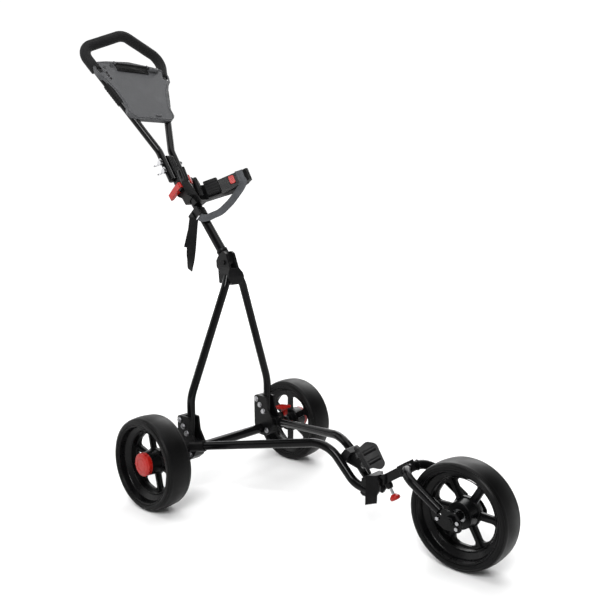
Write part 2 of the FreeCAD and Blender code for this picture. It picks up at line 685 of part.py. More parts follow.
# Upper bracket: a sleeve closed over the shaft's top, cheeks behind it for the handle's hinge,
# and two arms that open forward in a V to hold the bag.
HINGE = within(KNEE, -15.3, 0, 220.7)
bracket_block = plate("upper_bracket_block", [
    (-15.5, 176, 4), (15.5, 176, 4), (18, 205, 8), (16, 238, 7), (-3, 244, 6), (-20, 234, 8),
    (-27, 222, 8), (-24, 209, 7), (-15.5, 198, 5)], 32, KNEE)
arms_plan = plate("arms_plan", [
    (8, -14), (24, -14, 6), (50, -50, 12), (62, -70, 12), (92, -100, 6), (109, -100, 5),
    (110, -91, 4), (98, -84, 8), (62, -40, 14), (37, -11, 8), (37, 11, 8), (62, 40, 14),
    (98, 84, 8), (110, 91, 4), (109, 100, 5), (92, 100, 6), (62, 70, 12), (50, 50, 12),
    (24, 14, 6), (8, 14)], 90, CRADLE, "XY_Plane")
arms_side = plate("arms_side", [
    (4, -36, 4), (58, -36, 20), (96, -24, 8), (112, -23, 4), (112, 6, 4), (90, 6, 8),
    (62, 2, 12), (4, 2)], 220, CRADLE)
upper_arms = common("upper_arms", arms_plan, arms_side)

# The cheeks' slot is open to the back and top; the stem lies against the block's front wall.
stem_slot = plate("stem_slot", [
    (9.6, 60), (9.6, -4, 9), (-11.7, -39.4), (-60, -39.4), (-60, 60)],
    "Dimensions.stem_width + 0.6", HANDLE)
BUTTON_ALONG = Vector(0.633, 0.773, 0)
BUTTON_MIDDLE = Vector(80.5, 62.6, -9)


def button_frame(side):
    """On an arm's inner face: X along the arm, Y up, Z squarely out of the face."""
    along = Vector(BUTTON_ALONG.x, side * BUTTON_ALONG.y, 0)
    outward = Vector(BUTTON_ALONG.y, -side * BUTTON_ALONG.x, 0)
    turn = Rotation(along, AXIS_Z, outward, "ZXY")
    return within(CRADLE, BUTTON_MIDDLE.x, side * BUTTON_MIDDLE.y, BUTTON_MIDDLE.z, turn)




bracket_tools = [
    shaft_outside, stem_slot,
    across("bracket_hinge_hole", bolt_radius, 30, 0, 0, 0, HANDLE)]
for side, name in ((-1, "right"), (1, "left")):
    bracket_tools.append(block(name + "_button_recess", (-7, -10, -8), (7, 10, 4),
                               button_frame(side)))
    low_y, high_y = sorted((side * 70.0, side * 110.0))
    bracket_tools.append(block(name + "_strap_slot", (97, low_y, -18), (101.5, high_y, 2), CRADLE))
upper_cradle = cut("upper_cradle", fuse("upper_cradle_solid", [bracket_block, upper_arms]),
                   bracket_tools)


def pressed_button(label, side):
    """A push button standing 3 mm out of the arm's inner face."""
    return plate(label, [(-6.5, -9.5, 3), (6.5, -9.5, 3), (6.5, 9.5, 3), (-6.5, 9.5, 3)], 7,
                 within(button_frame(side), 0, 0, -0.5), "XY_Plane")


strap_button_right = pressed_button("strap_button_right", -1)
strap_button_left = pressed_button("strap_button_left", 1)

# Soft pads on the arms' inner faces, near the root of the V.
upper_cradle_pads = both_sides("upper_cradle_pads", plate("cradle_pad", [
    (40.2, -14.6), (58, -35.2), (65.5, -35, 3), (68, -29, 3), (46, -4.5, 3)], 36,
    within(CRADLE, 0, 0, -12), "XY_Plane"))

# Webbing: the bag strap falls from the left arm's tip and passes round the shaft to its buckle.
strap_path = add("Part::Feature", "bag_strap_path")
strap_path.Shape = bent_wire(ORIGIN, [
    (-30, 93, 700), (-45, 76, 670, 30), (-49, 55, 641, 24), (-53, 24, 619, 14), (-56, -14, 608, 6),
    (-67, -18.5, 611)])
first_edge = strap_path.Shape.Edges[0]
strap_heading = first_edge.tangentAt(first_edge.FirstParameter)
strap_width = Vector(-0.6, 0, 0.8)
strap_side = strap_heading.cross(strap_width).normalize()
strap_width = strap_side.cross(strap_heading)
strap_start = first_edge.valueAt(first_edge.FirstParameter)
half_width = size("webbing") / 2 - 1
corners = []
for over, up in ((-1, -1), (1, -1), (1, 1), (-1, 1)):
    corners.append(strap_start + strap_side * over + strap_width * (half_width * up))
strap_section = add("Part::Feature", "bag_strap_section")
strap_section.Shape = Part.makePolygon(corners + corners[:1])
bag_strap = cut("bag_strap", sweep("bag_strap_band", strap_path, strap_section), [
    upper_arms, block("bag_strap_trim", (60, 55, -23.2), (120, 115, 30), CRADLE)])

BUCKLE = within(KNEE, 0, -17, 139)
strap_buckle = fuse("strap_buckle", [
    plate("buckle_frame", [(-16, -12, 3), (16, -12, 3), (16, 12, 3), (-16, 12, 3)], 4, BUCKLE),
    plate("buckle_cam", [(-20, -8, 2), (-4, -8, 2), (-4, 9, 2), (-20, 9, 2)], 7,
          within(BUCKLE, 0, -2, 0))])
TAIL_FACING = at(-83, -24.5, 601, Rotation(AXIS_Z, -47).multiply(Rotation(AXIS_X, -6)))
strap_tail = plate("strap_tail", [
    (-1, 0), (3, -16, 14), (0, -50, 60), (-11, -115), (-13, -115), (-2, -50, 60), (1, -16, 14),
    (-3, -1)], "Dimensions.webbing + 2", TAIL_FACING)

# Latch lever on the right side of the bracket, on a pin between two lugs.
LATCH = within(KNEE, 3, -22.5, 219)
lug_shapes = []
for number, height in enumerate((-12.0, 7.6)):
    lug_shapes.append(block("latch_lug%d" % number, (-5, -4.5, height), (5, 6.5, height + 4.4), LATCH))
lug_pin = rod("latch_lug_pin", 2.0, 24, within(LATCH, 0, 0, -12))
latch_lugs = fuse("latch_lugs", lug_shapes + [lug_pin])
latch_lever_plan = plate("latch_lever_plan", [
    (6, -5, 4), (6, 4, 3), (-12, 5.5, 4), (-40, 3.5, 3), (-45.5, -1, 3), (-42, -5, 3), (-14, -6, 6)],
    14.6, within(LATCH, 0, 0, 0), "XY_Plane")
handle_latch = cut("handle_latch", latch_lever_plan, [
    rod("handle_latch_hole", 2.05, 40, within(LATCH, 0, 0, -20))])


# ---------------------------------------------------------------- handle

stem_block = plate("stem_block", [(-9, -9, 8.9), (9, -9, 8.9), (9, 97, 5), (-9, 97, 5)],
                   "Dimensions.stem_width", HANDLE)
STEM_BOLTS = (55.0, 79.0)
stem_tools = [across("stem_hinge_hole", "Dimensions.pivot_bore / 2", 12, 0, 0, 0, HANDLE)]
for number, height in enumerate(STEM_BOLTS):
    stem_tools.append(across("stem_bolt_hole%d" % number, 3.0, 40, 0, height, 0, HANDLE))
handle_stem = cut("handle_stem", stem_block, stem_tools)
hinge_pin = fuse("hinge_pin", [
    across("hinge_pin_shank", bolt_radius, 16, 0, 0, 0, HANDLE),
    rod("hinge_pin_head", 5.5, 3.0, within(HANDLE, 0, 16, 0, FACING_LEFT))])

# The loop: each corner is (forward of the stem, across, along the stem).
LOOP_CORNERS = [
    (0, -18, 30), (0, -18.5, 113, 40), (3, -119, 405, 28), (34, 0, 441, 25), (3, 119, 405, 28),
    (0, 18.5, 113, 40), (0, 18, 30)]
loop_tube = bent_tube("loop_tube", HANDLE, LOOP_CORNERS, "Dimensions.frame_tube / 2",
                      "Dimensions.frame_bore / 2")
handle_tube = cut("handle_tube", loop_tube, [
    across("handle_tube_hole%d" % number, 3.0, 40, 0, height, 0, HANDLE)
    for number, height in enumerate(STEM_BOLTS)])


def on_leg(height, side):
    """A point of the loop's leg at a given distance along the stem."""
    low = LOOP_CORNERS[1]
    high = LOOP_CORNERS[2]
    share = (height - low[2]) / (high[2] - low[2])
    return (low[0] + share * (high[0] - low[0]), side * abs(low[1] + share * (high[1] - low[1])),
            height)


grip = bent_tube("grip", HANDLE, [on_leg(330, -1)] + LOOP_CORNERS[2:5] + [on_leg(330, 1)],
                 "Dimensions.grip_diameter / 2", "Dimensions.frame_tube / 2")


def wing_nut(label, height):
    """A wing nut on the right end of a cross bolt."""
    place = within(HANDLE, 0, -27.4, height, FACING_RIGHT)
    hub = rod(label + "_hub", 6.0, 7.0, place)
    wings = plate(label + "_wings", [
        (-15, 12, 4), (-13, 15, 3), (-6, 3, 3), (6, 3, 3), (13, 15, 3), (15, 12, 4), (7, 0.5, 2),
        (-7, 0.5, 2)], 3.2, place)
    return fuse(label, [hub, wings])


def stem_bolt(label, height):
    shank = across(label + "_shank", 3.0, 27.4, 0, height, 0, HANDLE)
    head = rod(label + "_head", 6.0, 3.0, within(HANDLE, 0, 27.4, height, FACING_LEFT))
    return fuse(label, [shank, head, wing_nut(label + "_wing_nut", height)])


handle_bolts = group("handle_bolts", [
    stem_bolt("stem_bolt%d" % number, height) for number, height in enumerate(STEM_BOLTS)])

side_pad = bent_tube("side_pad", HANDLE, [on_leg(249, -1), on_leg(302, -1)], 10.8,
                     "Dimensions.frame_tube / 2")
side_pads = both_sides("side_pads", side_pad)

# Console moulded over the loop: each corner of the outline is (across, along the stem).
CONSOLE_SIDE = [(52, 197, 8), (68, 214, 8), (66, 232, 10), (70, 250, 10), (80, 282, 16),
                (95, 311, 10), (106, 324, 8), (111, 346, 10), (94, 362, 12), (68, 367, 12)]
console_corners = [(-y, u, r) for y, u, r in CONSOLE_SIDE] + [(0, 374, 60)]
console_corners += [(y, u, r) for y, u, r in reversed(CONSOLE_SIDE)]
console_plate = plate("console_plate", console_corners, 10, within(HANDLE, 8, 0, 0), "YZ_Plane")
console_lugs = []
CLIP_HINGE = (15.8, 361.0)
for side in (-1, 1):
    low_y, high_y = sorted((side * 46.4, side * 50.0))
    console_lugs.append(block("clip_lug_%s" % ("right" if side < 0 else "left"),
                              (12, low_y, 357), (18.8, high_y, 365), HANDLE))
SOCKET = (-57.0, 353.0)
console_tools = [outside_of("loop_tube"), outside_of("side_pad"),
                 mirrored("side_pad_left_outside", outside_of("side_pad")),
                 across("clip_hinge_hole", 1.55, 60, *CLIP_HINGE, 0, HANDLE)]
ALONG_X = Rotation(AXIS_Y, 90)
console_tools.append(rod("socket_hole", 6.0, 30, within(HANDLE, -5, *SOCKET, ALONG_X)))
for number, (y, u) in enumerate(((-80.0, 331.0), (-77.5, 322.5), (-75.0, 314.0))):
    console_tools.append(rod("tee_hole%d" % number, 2.6, 30, within(HANDLE, -5, y, u, ALONG_X)))
grip_clear = [outside_of("grip")]
console = cut("console", fuse("console_solid", [console_plate] + console_lugs),
              console_tools + grip_clear)

clip_plate = plate("clip_plate", [(13.3, 340, 1), (15.6, 340, 1), (15.8, 361), (13.6, 358, 1)], 91,
                   HANDLE)
clip_barrel = across("clip_barrel", 2.4, 45.5, *CLIP_HINGE, 0, HANDLE)
clip_pins = across("clip_pins", 1.5, 50, *CLIP_HINGE, 0, HANDLE)
scorecard_clip = fuse("scorecard_clip", [clip_plate, clip_barrel, clip_pins])


# ---------------------------------------------------------------- check and write

SUB_PARTS = right_wheel + left_wheel + front_wheel + [
    rear_cross_tube, rear_axle, axle_bushes, side_tube_right, side_tube_left,
    hinge_bracket_right, hinge_bracket_left, frame_screws, hinge_bolts, front_joint,
    cradle_bracket, lower_cradle, lower_strap, brake_mount, brake_lever, neck_tube, fork_crown,
    fork_arm_right, fork_arm_left, fork_plates, fork_screws, front_axle, plunger_boss,
    release_pin, release_knob, upright_right, upright_left, knee_yoke, knee_bolts, knee_latch,
    shaft_tube, knee_knuckle, upper_cradle, upper_cradle_pads, strap_button_right,
    strap_button_left, bag_strap, strap_buckle, strap_tail, latch_lugs, handle_latch, hinge_pin,
    handle_stem, handle_tube, grip, handle_bolts, side_pads, console, scorecard_clip]

doc.recompute()
problems = []
for made in doc.Objects:
    if "Invalid" in made.State or "Error" in made.State:
        problems.append("%s %s" % (made.Label, made.State))
for made in SUB_PARTS:
    if made.Shape.isNull() or not made.Shape.isValid():
        problems.append("%s has no valid shape" % made.Label)
if problems:
    raise RuntimeError("; ".join(problems))
whole = FreeCAD.BoundBox()
for made in SUB_PARTS:
    made.Shape.exportStep("parts/%s.step" % made.Label)
    whole.add(made.Shape.BoundBox)
    print(made.Label, len(made.Shape.Solids), round(made.Shape.Volume))
print(len(SUB_PARTS), "sub-parts;", whole)
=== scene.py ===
import json
import math

import bmesh
import bpy
from mathutils import Matrix, Vector


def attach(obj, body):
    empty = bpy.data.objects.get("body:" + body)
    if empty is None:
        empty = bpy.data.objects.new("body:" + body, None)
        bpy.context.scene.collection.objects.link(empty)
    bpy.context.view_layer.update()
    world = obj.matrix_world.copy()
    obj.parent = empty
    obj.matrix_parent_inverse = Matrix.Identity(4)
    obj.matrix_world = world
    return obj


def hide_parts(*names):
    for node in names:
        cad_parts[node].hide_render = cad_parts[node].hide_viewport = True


# A folding push trolley for a golf bag, dressed on its CAD frame. Metres, X forward, Z up.

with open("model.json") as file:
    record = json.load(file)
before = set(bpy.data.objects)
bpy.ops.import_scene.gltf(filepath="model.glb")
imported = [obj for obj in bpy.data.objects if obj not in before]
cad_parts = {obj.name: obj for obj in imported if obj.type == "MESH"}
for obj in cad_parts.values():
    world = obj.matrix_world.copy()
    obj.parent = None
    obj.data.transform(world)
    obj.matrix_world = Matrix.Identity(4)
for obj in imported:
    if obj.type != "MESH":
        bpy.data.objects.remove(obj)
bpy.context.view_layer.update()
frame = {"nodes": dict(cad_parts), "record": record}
nodes = frame["nodes"]

REAR_AXLE_X = -0.1688
COAT_ROUGHNESS = 0.08
NOISE_ROUGHNESS = 0.55
WORN_SHARE = 0.35        # how far a rubbed edge goes towards its lighter colour


# ------------------------------------------------------------------ materials

class Shader:
    """A small builder for one procedural material around a Principled shader."""

    def __init__(self, name, colour, roughness, metallic=0.0, coat=0.0, specular=0.5):
        self.material = bpy.data.materials.new(name)
        self.material.use_nodes = True
        self.tree = self.material.node_tree
        self.shader = self.tree.nodes["Principled BSDF"]
        self.set("Base Color", (*colour, 1))
        self.set("Roughness", roughness)
        self.set("Metallic", metallic)
        self.set("Coat Weight", coat)
        self.set("Coat Roughness", COAT_ROUGHNESS)
        self.set("Specular IOR Level", specular)
        self.colour = colour
        self.roughness = roughness
        self.where = self.add("ShaderNodeTexCoord").outputs["Object"]
        self.normal = None

    def set(self, socket, value):
        self.shader.inputs[socket].default_value = value

    def add(self, kind, **values):
        node = self.tree.nodes.new(kind)
        for name, value in values.items():
            setattr(node, name, value)
        return node

    def link(self, source, target):
        self.tree.links.new(source, target)

    def noise(self, scale, detail=4.0, where=None):
        node = self.add("ShaderNodeTexNoise")
        node.inputs["Scale"].default_value = scale
        node.inputs["Detail"].default_value = detail
        node.inputs["Roughness"].default_value = NOISE_ROUGHNESS
        node.inputs["Distortion"].default_value = 0.0
        self.link(where or self.where, node.inputs["Vector"])
        return node.outputs["Fac"]

    def cells(self, scale):
        node = self.add("ShaderNodeTexVoronoi", feature="F1")
        node.inputs["Scale"].default_value = scale
        self.link(self.where, node.inputs["Vector"])
        return node.outputs["Distance"]

    def stretched(self, x, y, z):
        node = self.add("ShaderNodeMapping")
        node.inputs["Scale"].default_value = (x, y, z)
        self.link(self.where, node.inputs["Vector"])
        return node.outputs["Vector"]

    def ramp(self, value, low, high, start, end):
        node = self.add("ShaderNodeMapRange")
        node.inputs["From Min"].default_value = low
        node.inputs["From Max"].default_value = high
        node.inputs["To Min"].default_value = start
        node.inputs["To Max"].default_value = end
        self.link(value, node.inputs["Value"])
        return node.outputs["Result"]

    def tint(self, factor, other):
        """Mixes another colour over the base where the factor is high."""
        node = self.add("ShaderNodeMix", data_type="RGBA")
        self.link(factor, node.inputs["Factor"])
        base = self.shader.inputs["Base Color"]
        if base.is_linked:
            self.link(base.links[0].from_socket, node.inputs["A"])
        else:
            node.inputs["A"].default_value = (*self.colour, 1)
        node.inputs["B"].default_value = (*other, 1)
        self.link(node.outputs["Result"], base)

    def vary_roughness(self, value, spread):
        low = max(0.02, self.roughness - spread)
        high = min(1.0, self.roughness + spread)
        self.link(self.ramp(value, 0.3, 0.7, low, high), self.shader.inputs["Roughness"])

    def bevel(self, radius):
        """Softens moulded edges in the shading."""
        node = self.add("ShaderNodeBevel", samples=4)
        node.inputs["Radius"].default_value = radius
        self.normal = node.outputs["Normal"]
        self.link(self.normal, self.shader.inputs["Normal"])

    def bump(self, height, distance, strength=1.0):
        node = self.add("ShaderNodeBump")
        node.inputs["Distance"].default_value = distance
        node.inputs["Strength"].default_value = strength
        self.link(height, node.inputs["Height"])
        if self.normal is not None:
            self.link(self.normal, node.inputs["Normal"])
        self.normal = node.outputs["Normal"]
        self.link(self.normal, self.shader.inputs["Normal"])

    def worn_edges(self, radius, colour):
        """Lightens edges, where a bevelled normal leaves the flat one."""
        soft = self.add("ShaderNodeBevel", samples=4)
        soft.inputs["Radius"].default_value = radius
        flat = self.add("ShaderNodeNewGeometry").outputs["Normal"]
        dot = self.add("ShaderNodeVectorMath", operation="DOT_PRODUCT")
        self.link(soft.outputs["Normal"], dot.inputs[0])
        self.link(flat, dot.inputs[1])
        edge = self.ramp(dot.outputs["Value"], 0.985, 0.86, 0.0, WORN_SHARE)
        patchy = self.ramp(self.noise(140), 0.42, 0.62, 0.0, 1.0)
        both = self.add("ShaderNodeMath", operation="MULTIPLY")
        self.link(edge, both.inputs[0])
        self.link(patchy, both.inputs[1])
        self.tint(both.outputs["Value"], colour)


def gloss_paint():
    paint = Shader("gloss_black_paint", (0.0028, 0.0028, 0.003), 0.13, specular=0.12)
    paint.bevel(0.0006)
    paint.vary_roughness(paint.noise(30), 0.06)
    paint.bump(paint.noise(900, 2), 0.00004)
    paint.tint(paint.ramp(paint.noise(14, 6), 0.55, 0.75, 0.0, 0.25), (0.007, 0.007, 0.0075))
    return paint.material


def moulded(name, colour, roughness, grain=0.00006, edge=0.0012, coat=0.0, specular=0.13):
    """Injection-moulded nylon with a fine spark-eroded grain and slightly rubbed edges."""
    nylon = Shader(name, colour, roughness, coat=coat, specular=specular)
    nylon.bevel(edge)
    nylon.vary_roughness(nylon.noise(45), 0.07)
    nylon.bump(nylon.noise(1500, 3), grain)
    lighter = tuple(min(1.0, c * 1.8 + 0.002) for c in colour)
    nylon.tint(nylon.ramp(nylon.noise(22, 5), 0.5, 0.8, 0.0, 0.35), lighter)
    nylon.worn_edges(0.0015, tuple(min(1.0, c * 2.2 + 0.008) for c in colour))
    return nylon.material


def tyre_rubber():
    rubber = Shader("tyre_rubber", (0.0022, 0.0022, 0.0023), 0.42, specular=0.11)
    rubber.vary_roughness(rubber.noise(25), 0.09)
    rubber.bump(rubber.noise(700, 4), 0.00012)
    rubber.tint(rubber.ramp(rubber.noise(9, 7), 0.45, 0.75, 0.0, 0.5), (0.0045, 0.0044, 0.0043))
    return rubber.material


def metal(name, colour, roughness, brushed):
    plated = Shader(name, colour, roughness, metallic=1.0)
    plated.bevel(0.0003)
    streaks = plated.noise(60, 5, where=plated.stretched(1, 12, 1))
    plated.vary_roughness(streaks, 0.08)
    plated.bump(streaks, brushed)
    plated.tint(plated.ramp(plated.noise(80, 6), 0.55, 0.8, 0.0, 0.4),
                tuple(c * 0.55 for c in colour))
    return plated.material


def foam():
    skin = Shader("grip_foam", (0.006, 0.006, 0.0063), 0.7, specular=0.13)
    skin.bump(skin.cells(1100), 0.00016, 0.8)
    skin.bump(skin.noise(160, 5), 0.0002, 0.5)
    skin.vary_roughness(skin.noise(40), 0.08)
    skin.tint(skin.ramp(skin.noise(18, 5), 0.5, 0.8, 0.0, 0.4), (0.014, 0.014, 0.0145))
    return skin.material


def soft_rubber():
    pad = Shader("soft_rubber", (0.0035, 0.0035, 0.0037), 0.6, specular=0.13)
    pad.bevel(0.001)
    pad.bump(pad.noise(420, 4), 0.0001)
    pad.vary_roughness(pad.noise(35), 0.08)
    pad.tint(pad.ramp(pad.noise(25, 5), 0.5, 0.8, 0.0, 0.4), (0.011, 0.011, 0.0115))
    return pad.material


def webbing(name, colour):
    """Woven nylon tape: ribs along it crossed by picks, with a soft sheen."""
    tape = Shader(name, colour, 0.7, specular=0.12)
    tape.set("Sheen Weight", 0.02)
    tape.set("Sheen Roughness", 0.4)
    lengthways = tape.add("ShaderNodeTexCoord").outputs["UV"]
    heights = []
    for direction, scale in (("X", 190), ("Y", 240)):
        wave = tape.add("ShaderNodeTexWave", wave_type="BANDS", bands_direction=direction)
        wave.inputs["Scale"].default_value = scale
        wave.inputs["Distortion"].default_value = 0.4
        tape.link(lengthways, wave.inputs["Vector"])
        heights.append(wave.outputs["Fac"])
    weave = tape.add("ShaderNodeMath", operation="MULTIPLY")
    tape.link(heights[0], weave.inputs[0])
    tape.link(heights[1], weave.inputs[1])
    tape.bump(weave.outputs["Value"], 0.0004)
    # Painted shade: the hollows between the threads are darkened in the colour, following the
    # weave's height.
    tape.tint(tape.ramp(weave.outputs["Value"], 0.0, 0.7, 0.5, 0.0),
              tuple(c * 0.45 for c in colour))
    tape.tint(tape.ramp(tape.noise(35, 5), 0.45, 0.75, 0.0, 0.4),
              tuple(min(1.0, c * 1.35 + 0.008) for c in colour))
    tape.vary_roughness(tape.noise(60), 0.1)
    return tape.material


PAINT = gloss_paint()
NYLON = moulded("black_nylon", (0.0028, 0.0028, 0.003), 0.34)
DARK_NYLON = moulded("dark_nylon", (0.0038, 0.0038, 0.0041), 0.4)
RIM = moulded("rim_nylon", (0.0024, 0.0024, 0.0026), 0.3, edge=0.0015)
CONSOLE = moulded("console_grey", (0.047, 0.048, 0.051), 0.46, grain=0.00012, specular=0.25)
RED = moulded("red_plastic", (0.3, 0.008, 0.005), 0.3, grain=0.00002, coat=0.1, specular=0.25)
TYRE = tyre_rubber()
ZINC = metal("zinc_steel", (0.36, 0.36, 0.37), 0.33, 0.00003)
CHROME = metal("plated_steel", (0.72, 0.72, 0.74), 0.16, 0.00001)
FOAM = foam()
PAD = soft_rubber()
GREY_TAPE = webbing("grey_webbing", (0.075, 0.078, 0.084))
BLACK_TAPE = webbing("black_webbing", (0.0035, 0.0035, 0.0038))

FINISHES = {
    "satin_tube": PAINT, "rim_plastic": RIM, "tyre": TYRE, "steel": ZINC, "chrome": CHROME,
    "black_plastic": NYLON, "dark_plastic": DARK_NYLON, "red_plastic": RED, "grip_foam": FOAM,
    "soft_rubber": PAD, "grey_webbing": GREY_TAPE, "black_webbing": BLACK_TAPE,
    "console_grey": CONSOLE,
}
for part in frame["record"]["subparts"]:
    node = nodes[part["node"]]
    node.data.materials.clear()
    node.data.materials.append(FINISHES[part["material_slot"]])


# ------------------------------------------------------------------ shapes

def leaning(x, z, degrees):
    """A frame on the middle plane whose Z leans back; x and z are millimetres from the axle."""
    return (Matrix.Translation((REAR_AXLE_X + x / 1000, 0, z / 1000))
            @ Matrix.Rotation(math.radians(-degrees), 4, "Y"))


AXLE = leaning(0, 0, 0)
KNEE = leaning(6.5, 512, 40.5)
HANDLE = leaning(-148.5, 670, 35)
CRADLE = leaning(-122, 663, 30)


def place(within, x, y, z):
    """A point given in millimetres in one of the frames."""
    return within @ Vector((x / 1000, y / 1000, z / 1000))


def piece(name, points, faces, material, slot, body):
    mesh = bpy.data.meshes.new(name)
    mesh.from_pydata(points, [], faces)
    outward = bmesh.new()
    outward.from_mesh(mesh)
    bmesh.ops.recalc_face_normals(outward, faces=outward.faces)
    outward.to_mesh(mesh)
    outward.free()
    made = bpy.data.objects.new(name, mesh)
    bpy.context.scene.collection.objects.link(made)
    mesh.materials.append(material)
    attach(made, body)
    return made


def smooth(made):
    made.data.shade_smooth()
    return made


def joined(name, parts):
    """Makes one piece of several that share a material and a body."""
    points, faces = [], []
    for more_points, more_faces in parts:
        first = len(points)
        points += more_points
        faces += [tuple(first + i for i in face) for face in more_faces]
    return name, points, faces


def ring(middle, axis, radius, wire, around=48, across=8):
    """A torus about an axis."""
    axis = axis.normalized()
    side = axis.orthogonal().normalized()
    up = axis.cross(side)
    points, faces = [], []
    for i in range(around):
        turn = 2 * math.pi * i / around
        out = side * math.cos(turn) + up * math.sin(turn)
        for j in range(across):
            roll = 2 * math.pi * j / across
            points.append(middle + out * (radius + wire * math.cos(roll))
                          + axis * wire * math.sin(roll))
    for i in range(around):
        for j in range(across):
            k, m = (i + 1) % around, (j + 1) % across
            faces.append((i * across + j, k * across + j, k * across + m, i * across + m))
    return points, faces


def lathe(middle, axis, profile, around=40):
    """An outline of (radius, height) in millimetres turned about an axis."""
    axis = axis.normalized()
    side = axis.orthogonal().normalized()
    up = axis.cross(side)
    points, faces = [], []
    rows = len(profile)
    for i in range(around):
        turn = 2 * math.pi * i / around
        out = side * math.cos(turn) + up * math.sin(turn)
        for radius, height in profile:
            points.append(middle + out * radius / 1000 + axis * height / 1000)
    for i in range(around):
        k = (i + 1) % around
        for j in range(rows - 1):
            faces.append((i * rows + j, k * rows + j, k * rows + j + 1, i * rows + j + 1))
    faces.append(tuple(i * rows + rows - 1 for i in range(around)))
    faces.append(tuple(i * rows for i in reversed(range(around))))
    return points, faces


def prism(within, outline, low, high):
    """An outline of (x, y) in millimetres carried from one height to another."""
    count = len(outline)
    points = [place(within, x, y, low) for x, y in outline]
    points += [place(within, x, y, high) for x, y in outline]
    faces = [tuple(reversed(range(count))), tuple(range(count, 2 * count))]
    faces += [(i, (i + 1) % count, count + (i + 1) % count, count + i) for i in range(count)]
    return points, faces


def bevelled(made, width, segments=3):
    modifier = made.modifiers.new("soft_edges", "BEVEL")
    modifier.width = width
    modifier.segments = segments
    modifier.limit_method = "ANGLE"
    return smooth(made)


def rounded_route(corners, step):
    """Straights joined by arcs; each corner is (point, bend radius). Evenly sampled."""
    points = [corners[0][0]]
    for i in range(1, len(corners) - 1):
        corner, bend = corners[i]
        back = (corners[i - 1][0] - corner).normalized()
        ahead = (corners[i + 1][0] - corner).normalized()
        half = back.angle(ahead) / 2
        reach = bend / math.tan(half)
        centre = corner + (back + ahead).normalized() * bend / math.sin(half)
        start = corner + back * reach - centre
        end = corner + ahead * reach - centre
        count = max(6, int(bend * (math.pi - 2 * half) / step))
        for k in range(count + 1):
            points.append(centre + start.slerp(end, k / count, start).normalized() * bend)
    points.append(corners[-1][0])
    even = [points[0]]
    for here in points[1:]:
        gap = (here - even[-1]).length
        extra = int(gap / step)
        first = even[-1]
        for k in range(1, extra + 1):
            even.append(first.lerp(here, k / (extra + 1)))
        even.append(here)
    return [p for i, p in enumerate(even) if i == 0 or (p - even[i - 1]).length > 1e-6]


def along(points, closed=False):
    """For each point of a line, its heading and a side that turns as little as possible."""
    count = len(points)
    headings = []
    for i in range(count):
        before = points[i - 1] if i or closed else points[0]
        after = points[(i + 1) % count] if i + 1 < count or closed else points[-1]
        headings.append((after - before).normalized())
    side = headings[0].orthogonal().normalized()
    frames = []
    for heading in headings:
        side = (side - heading * side.dot(heading)).normalized()
        frames.append((heading, side, heading.cross(side)))
    return frames


def tube(points, radius, around=24, closed=False):
    """A round skin along a line; radius is a function of the distance and the angle."""
    frames = along(points, closed)
    made, faces = [], []
    distance = 0.0
    for i, (here, (heading, side, up)) in enumerate(zip(points, frames)):
        if i:
            distance += (here - points[i - 1]).length
        for j in range(around):
            turn = 2 * math.pi * j / around
            out = side * math.cos(turn) + up * math.sin(turn)
            made.append(here + out * radius(distance, turn))
    rows = len(points)
    for i in range(rows if closed else rows - 1):
        k = (i + 1) % rows
        for j in range(around):
            m = (j + 1) % around
            faces.append((i * around + j, i * around + m, k * around + m, k * around + j))
    return made, faces


def flowing(points, steps=10):
    """A smooth line through every point (Catmull-Rom)."""
    line = []
    padded = [2 * points[0] - points[1]] + list(points) + [2 * points[-1] - points[-2]]
    for i in range(1, len(padded) - 2):
        a, b, c, d = padded[i - 1:i + 3]
        for k in range(steps):
            t = k / steps
            line.append(0.5 * (2 * b + (c - a) * t + (2 * a - 5 * b + 4 * c - d) * t * t
                               + (3 * b - a - 3 * c + d) * t ** 3))
    line.append(points[-1])
    return line


# One side of a strap's section: across as a share of the half width, and thickness as a share
# of the half thickness. The woven edges are thicker than the middle.
STRAP_EDGE = [(-1.0, 0.45), (-0.97, 0.9), (-0.86, 1.0), (-0.78, 0.72), (-0.3, 0.66), (0.0, 0.7),
              (0.3, 0.66), (0.78, 0.72), (0.86, 1.0), (0.97, 0.9), (1.0, 0.45)]


def strap(name, points, sides, width, thickness, material, slot, body):
    """Flat webbing along a line; sides are the directions across it at the given points."""
    line = flowing(points)
    across = flowing(sides)
    section = [(x, y) for x, y in STRAP_EDGE] + [(x, -y) for x, y in reversed(STRAP_EDGE)]
    count = len(section)
    made, faces, texture = [], [], []
    distance = 0.0
    for i, here in enumerate(line):
        before, after = line[max(0, i - 1)], line[min(len(line) - 1, i + 1)]
        heading = (after - before).normalized()
        side = (across[i] - heading * across[i].dot(heading)).normalized()
        normal = side.cross(heading)
        if i:
            distance += (here - line[i - 1]).length
        ripple = 0.0004 * math.sin(distance * 190 + 1.3)
        for x, y in section:
            made.append(here + side * (x * width / 2)
                        + normal * (y * thickness / 2 + ripple * x * x))
            texture.append((x * width / 2, distance))
    for i in range(len(line) - 1):
        for j in range(count):
            m = (j + 1) % count
            faces.append((i * count + j, i * count + m, (i + 1) * count + m, (i + 1) * count + j))
    faces.append(tuple(reversed(range(count))))
    faces.append(tuple(range((len(line) - 1) * count, len(line) * count)))
    tape = smooth(piece(name, made, faces, material, slot, body))
    layer = tape.data.uv_layers.new(name="weave")
    for loop in tape.data.loops:
        layer.data[loop.index].uv = texture[loop.vertex_index]
    return tape


